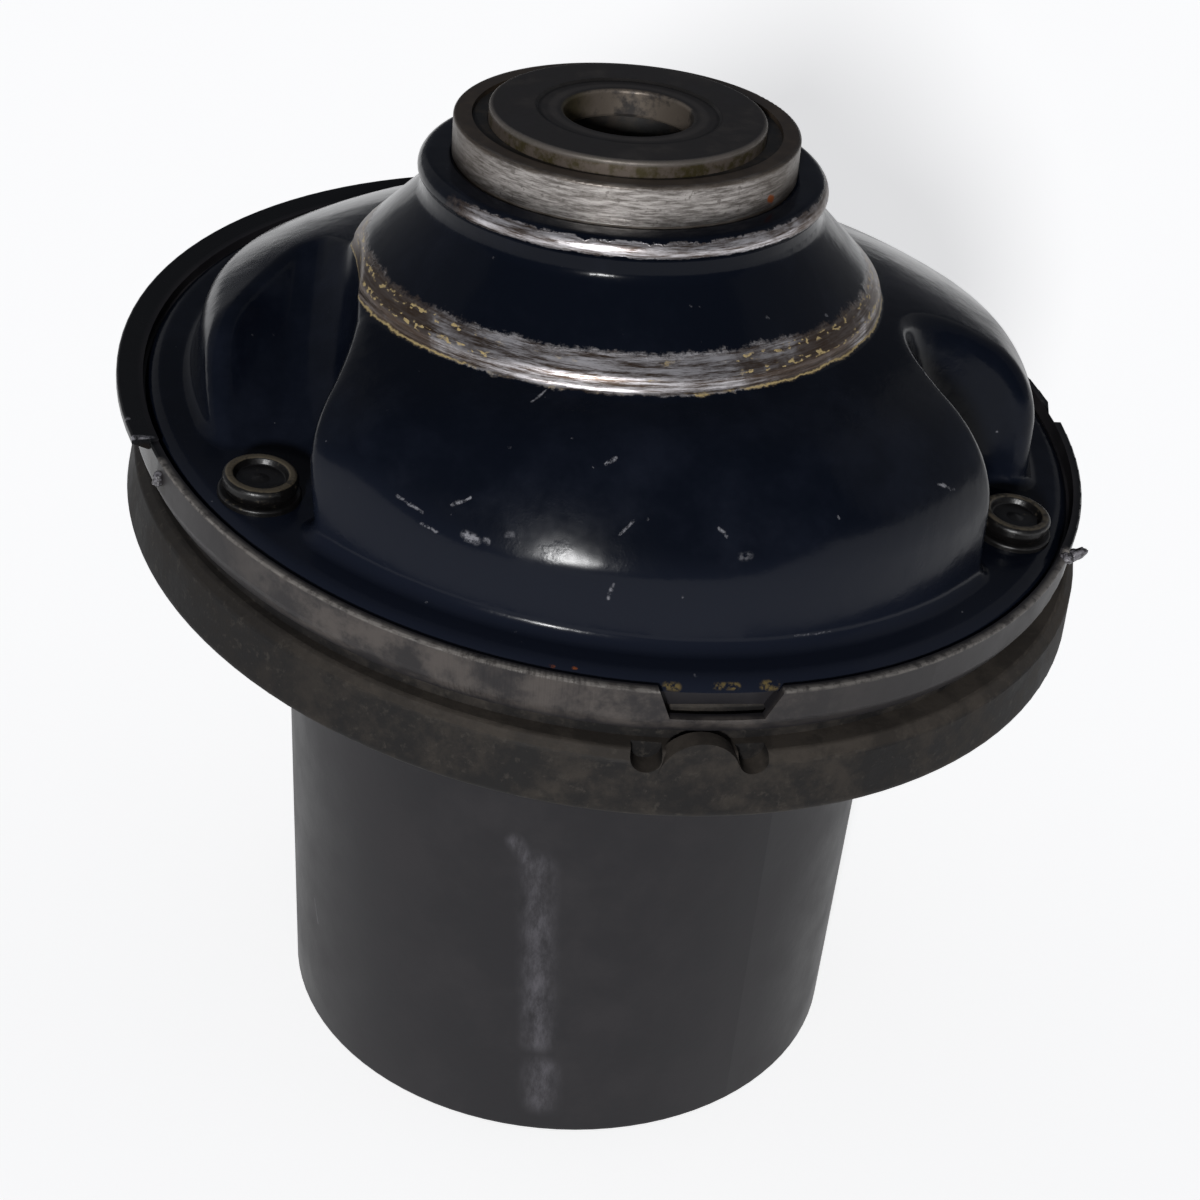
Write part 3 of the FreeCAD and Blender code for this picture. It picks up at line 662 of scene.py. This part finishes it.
# dust tube: moulded plastic, satin dark grey, dusted brown on its rim, with a painted highlight streaked down
# its front and a small scuff
tubeValues = {
    "plastic": "#1d1c1f",
    "worn": "#2f2d2f",
    "band": "#4d4845",
    "bandDark": "#282627",
    "lip": "#111214",
    "edge": "#77736f",
    "torn": "#7c7b80",
    "gapShade": "#16120f",
    "scuffAndSheen": "#5a585d",
    "specular": 0.22,
    "roughness": (0.3, 0.8, 0.42, 0.56),
    "lipGloss": 0.18,
    "patterns": {
        "mottled": (16.0, 6.0, 0.65),
        "fine": (1.6, 4.0, 0.7),
        "bandDust": (9.0, 5.0, 0.7),
        "rubAndSheen": (3.0, 6.0, 0.75, (1, 1, 0.35)),
    },
    "wornCut": (0.4, 0.72, 0.0, 0.5),
    # the band round the seat's edge, measured in the flange's own frame
    "bandReach": (79.6, 80.6),
    "bandCut": (0.36, 0.62),
    "flank": (28.0, 56.0, 0.0, 0.95),
    # where the painted highlight along the band's upper edge lies, and how broken it is
    "edgeHeight": (-1.15, -0.75),
    "edgeHighlightCut": (0.36, 0.56, 0.2, 0.8),
    "lipSide": (-27.6, -26.4),
    "lipSlant": -0.09,
    "lipShift": 3.0,
    "tornCut": (0.4, 0.6),
    "tornEnds": [
        ((-73.7, -30.4, -46.9), (-70.2, -28.4, -47.2), 0.5, 0.4),
        ((-76.0, -25.8, -46.3), (-75.0, -25.2, -46.2), 0.5, 0.5),
    ],
    # a painted shade by the left tear: a near-black patch where a dark gap lies under the band
    "gapShadeCut": (0.3, 0.5, 0.6, 1.0),
    "gapShadePlaces": [
        ((-72.4, -28.5, -49.6), (-69.4, -32.4, -51.8), 2.4),
        ((-69.4, -32.4, -52.4), (-67.4, -35.6, -52.8), 1.2),
    ],
    # upright ribs in the front of the band: pitch, radius and places in millimetres
    "ribPitch": 0.9,
    "ribRadius": 81.0,
    "bandMiddle": -9.0,
    "ribHalfWidth": (13.0, 9.0),
    "ribBump": (0.12, 0.6),
    "rubAndSheenCut": (0.3, 0.84),
    "rubAndSheenDepth": 2.0,
    "bump": (0.05, 0.5),
    # the first three are a painted highlight, the lamp's sheen streaked down the tube's front; the last is a
    # small scuff
    "scuffs": [
        ((-4.4, -51.8, -108.0), (-2.2, -50.9, -146.0), 4.4, 0.0),
        ((-1.2, -50.7, -153.0), (-1.0, -50.5, -160.0), 4.6, 0.0),
        ((-8.4, -51.4, -103.5), (-6.6, -51.6, -106.5), 2.2, 0.1),
        ((-44.2, -25.6, -140.0), (-43.4, -26.6, -144.5), 0.35, 0.5),
    ],
}


def mouldedPlastic(values):
    material, tree, shader = newMaterial("mouldedPlastic")
    at = surfaceAt(tree)
    x, y = axesOf(tree, at, "x", "y")
    look = patternsOf(tree, at, values)
    fine = look["fine"]
    height, reach = seatSpace(tree, at)
    rim = ramp(tree, reach, *values["bandReach"])
    fromMiddle = gapTo(tree, x, values["bandMiddle"])
    # the band is dusted grey-brown and darker towards both sides, with a painted highlight along its upper
    # edge
    band = tint(tree, ramp(tree, look["bandDust"], *values["bandCut"]), values["bandDark"], values["band"])
    band = tint(tree, ramp(tree, fromMiddle, *values["flank"]), band, values["bandDark"])
    # painted highlight: a pale line along the band's upper edge, where it catches the lamp
    edge = times(tree, ramp(tree, height, *values["edgeHeight"]), ramp(tree, fine, *values["edgeHighlightCut"]))
    band = tint(tree, edge, band, values["edge"])
    # behind its torn ends it is as dark as the coat beside it
    side = plus(tree, plus(tree, y, x, values["lipSlant"]), jitter(tree, fine, values["lipShift"]))
    lip = ramp(tree, side, *values["lipSide"])
    band = tint(tree, lip, band, values["lip"])
    torn = times(tree, smears(tree, at, values["tornEnds"]), ramp(tree, fine, *values["tornCut"]))
    band = tint(tree, torn, band, values["torn"])
    # painted shade: the near-black patch by the left tear stands in for the dark gap under the band
    gapShade = times(tree, smears(tree, at, values["gapShadePlaces"]), ramp(tree, fine, *values["gapShadeCut"]))
    band = tint(tree, gapShade, band, values["gapShade"])
    # the rest of the tube, its small scuff, and a painted highlight streaked down its front
    plastic = tint(tree, ramp(tree, look["mottled"], *values["wornCut"]), values["plastic"], values["worn"])
    rubAndSheen = times(tree, smears(tree, at, values["scuffs"]), ramp(tree, look["rubAndSheen"], *values["rubAndSheenCut"]))
    # fine upright ribs on the band's front
    turn = times(tree, calc(tree, "ARCTAN2", y, x), values["ribRadius"])
    rib = calc(tree, "SINE", times(tree, turn, 2 * math.pi / values["ribPitch"]))
    ribs = times(tree, rib, rim, ramp(tree, fromMiddle, *values["ribHalfWidth"]))
    ribbed = bump(tree, ribs, *values["ribBump"])
    satin = ramp(tree, look["mottled"], *values["roughness"])
    feed(tree, shader, {
        "Base Color": tint(tree, rubAndSheen, tint(tree, rim, plastic, band), values["scuffAndSheen"]),
        "Roughness": calc(tree, "SUBTRACT", satin, times(tree, lip, rim, values["lipGloss"])),
        "Specular IOR Level": values["specular"],
        "Normal": bump(tree, plus(tree, fine, rubAndSheen, values["rubAndSheenDepth"]), *values["bump"], ribbed),
    })
    return material


# spring pad: moulded rubber, so matt, nearly black where it is rubbed and brown with road dust elsewhere;
# painted shade darkens its left
padValues = {
    "rubber": "#181717",
    "dust": "#3e3934",
    "pale": "#423e39",
    "specular": 0.18,
    "roughness": (0.3, 0.8, 0.6, 0.85),
    "patterns": {"mottled": (11.0, 6.0, 0.7), "fine": (1.5, 4.0, 0.7)},
    "dustCut": (0.42, 0.68, 0.0, 0.7),
    "upward": (0.15, 0.8, 0.0, 0.6),
    "shadedLeft": (-62.0, -22.0, 0.3, 1.0),
    "paleCut": (0.55, 0.72, 0.0, 0.5),
    "fineDepth": 0.3,
    "bump": (0.25, 0.7),
}


def dustyRubber(values):
    material, tree, shader = newMaterial("dustyRubber")
    at = surfaceAt(tree)
    look = patternsOf(tree, at, values)
    x = axesOf(tree, at, "x")[0]
    # dust settles where the rubber faces up
    normal = add(tree, "NewGeometry").outputs["Normal"]
    up = add(tree, "SeparateXYZ", {0: normal}).outputs[2]
    settled = ramp(tree, up, *values["upward"])
    dustAndLeftShade = calc(tree, "ADD", ramp(tree, look["mottled"], *values["dustCut"]), settled, clamped=True)
    # painted shade: the dust colour fades towards the left, so the left side is darker
    dustAndLeftShade = times(tree, dustAndLeftShade, ramp(tree, x, *values["shadedLeft"]))
    colour = tint(tree, dustAndLeftShade, values["rubber"], values["dust"])
    feed(tree, shader, {
        "Base Color": tint(tree, ramp(tree, look["fine"], *values["paleCut"]), colour, values["pale"]),
        "Roughness": ramp(tree, look["mottled"], *values["roughness"]),
        "Specular IOR Level": values["specular"],
        "Normal": bump(tree, plus(tree, look["mottled"], look["fine"], values["fineDepth"]), *values["bump"]),
    })
    return material


# inside the bearing, each with a film of the old grease: sizes in millimetres
innerValues = {
    "grease": ringValues["grease"],
    # moulded rubber, so matt black
    "sealRubber": {
        "base": "#0d0c0c", "film": (0.4, 0.7, 0.0, 0.5), "size": 3.0, "roughness": 0.6, "bump": (0.05, 0.5),
    },
    # moulded nylon, so satin and dark
    "greasyNylon": {
        "base": "#26241f", "film": (0.4, 0.7), "size": 4.0, "roughness": 0.35, "bump": (0.03, 0.4),
    },
    # polished bearing steel, so as bright as a mirror
    "polishedSteel": {
        "base": "#c9c9cc", "film": (0.5, 0.8, 0.0, 0.4), "size": 2.5, "roughness": 0.12, "metallic": 1.0,
    },
}


def greasedPart(name, values, grease):
    material, tree, shader = newMaterial(name)
    mottled = blotches(tree, surfaceAt(tree), values["size"])
    feed(tree, shader, {
        "Base Color": tint(tree, ramp(tree, mottled, *values["film"]), values["base"], grease),
        "Roughness": values["roughness"],
        "Metallic": values.get("metallic", 0.0),
    })
    if "bump" in values:
        feed(tree, shader, {"Normal": bump(tree, mottled, *values["bump"])})
    return material


# in front the drum's shoulder lies lower than on the plain pressing, so a merged copy is eased down there
# place is the shoulder's radius and height, and reach and depth are how far and how much, in millimetres
# front is where the easing starts and where it is full, as -y over the radius, which is 1 straight ahead
shoulderValues = {
    "place": (62.5, -36.0),
    "reach": 16.0,
    "depth": 4.3,
    "front": (0.82, 0.97),
    "sharpFrom": 35.0,  # degrees
    "mergeDistance": 1e-6,  # metres
}


def smooth(share):
    return share * share * (3 - 2 * share)


def smoothFaces(mesh):
    for face in mesh.polygons:
        face.use_smooth = True


def addPiece(name, shape, material):
    mesh = bpy.data.meshes.new(name)
    shape.to_mesh(mesh)
    shape.free()
    smoothFaces(mesh)
    mesh.materials.append(material)
    piece = bpy.data.objects.new(name, mesh)
    bpy.context.scene.collection.objects.link(piece)
    return piece


def easedSeat(values, material):
    shape = bmesh.new()
    shape.from_mesh(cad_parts["spring_seat"].data)
    bmesh.ops.remove_doubles(shape, verts=shape.verts, dist=values["mergeDistance"])
    shoulderRadius, shoulderHeight = values["place"]
    low, high = values["front"]
    for vert in shape.verts:
        radius = math.hypot(vert.co.x, vert.co.y)
        away = math.hypot(radius * perMetre - shoulderRadius, vert.co.z * perMetre - shoulderHeight)
        near = 1 - away / values["reach"]
        ahead = min(max((-vert.co.y / radius - low) / (high - low), 0.0), 1.0)
        if near > 0 and ahead > 0:
            vert.co.z -= values["depth"] / perMetre * smooth(near) * smooth(ahead)
    piece = addPiece("pressedSeat", shape, material)
    piece.data.set_sharp_from_angle(angle=math.radians(values["sharpFrom"]))
    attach(piece, "seat")
    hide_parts("spring_seat")


coatedSteel = dipCoatedSteel(seatValues)
dress("spring_seat", coatedSteel)
easedSeat(shoulderValues, coatedSteel)
print("seat eased")

# flakes of the band that still hang where it tore: places and sizes in millimetres, turn and lean in degrees
flakeValues = {
    "white": "#6d6b70",
    "plastic": "#2b292b",
    "roughness": 0.4,
    "patterns": {"broken": (0.9, 4.0, 0.7), "rough": (0.6, 3.0, 0.7)},
    "brokenCut": (0.42, 0.58),
    "bump": (0.1, 0.8),
    "subdivisions": 3,
    "lumpScale": 1.7,
    "lumpHeight": 0.45,
    "flakes": {
        "tornFlakeRight": {
            "place": (79.2, -19.4, -59.6), "size": (1.8, 1.0, 1.0), "turn": 15.0, "lean": -22.0,
        },
        "tornStubRight": {
            "place": (77.4, -21.2, -59.4), "size": (1.1, 0.9, 0.9), "turn": -35.0, "lean": 10.0,
        },
        "tornStubLeft": {
            "place": (-68.4, -34.7, -51.4), "size": (0.9, 0.9, 1.2), "turn": 30.0, "lean": 12.0,
        },
    },
}


def tornPlastic(values):
    # moulded plastic whitened where it broke, so pale and rough with dark unbroken skin between
    material, tree, shader = newMaterial("tornPlastic")
    look = patternsOf(tree, surfaceAt(tree), values)
    broken = ramp(tree, look["broken"], *values["brokenCut"])
    feed(tree, shader, {
        "Base Color": tint(tree, broken, values["plastic"], values["white"]),
        "Roughness": values["roughness"],
        "Normal": bump(tree, look["rough"], *values["bump"]),
    })
    return material


def makeFlakes(values):
    material = tornPlastic(values)
    for name, flake in values["flakes"].items():
        place = Vector(flake["place"])
        shape = bmesh.new()
        bmesh.ops.create_icosphere(shape, subdivisions=values["subdivisions"], radius=1.0)
        for vert in shape.verts:
            vert.co *= 1 + values["lumpHeight"] * noise.noise(vert.co * values["lumpScale"] + place)
        bmesh.ops.scale(shape, vec=Vector(flake["size"]) / perMetre, verts=shape.verts)
        turn = Matrix.Rotation(math.radians(flake["turn"]), 3, "Z")
        lean = Matrix.Rotation(math.radians(flake["lean"]), 3, "Y")
        bmesh.ops.rotate(shape, matrix=turn @ lean, verts=shape.verts)
        bmesh.ops.translate(shape, vec=place / perMetre, verts=shape.verts)
        piece = addPiece(name, shape, material)
        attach(piece, "seat")


makeFlakes(flakeValues)
print("torn flakes made")

dress("bearing_disc", blackenedSteel(discValues))
dress("bearing_ring", turnedSteel(ringValues))
rivetSteel = wornRivetSteel(rivetValues)
dress("rivets", rivetSteel)
dress("rivet_washers", rivetSteel)
dress("dust_tube", mouldedPlastic(tubeValues))
dress("spring_pad", dustyRubber(padValues))
balls = sorted(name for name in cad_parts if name.startswith("ball_") and name != "ball_cage")
for finish, names in (
    ("sealRubber", ["bearing_seal_upper", "bearing_seal_lower"]),
    ("greasyNylon", ["ball_cage"]),
    ("polishedSteel", balls),
):
    material = greasedPart(finish, innerValues[finish], innerValues["grease"])
    for name in names:
        dress(name, material)
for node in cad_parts.values():
    smoothFaces(node.data)
print("materials given")
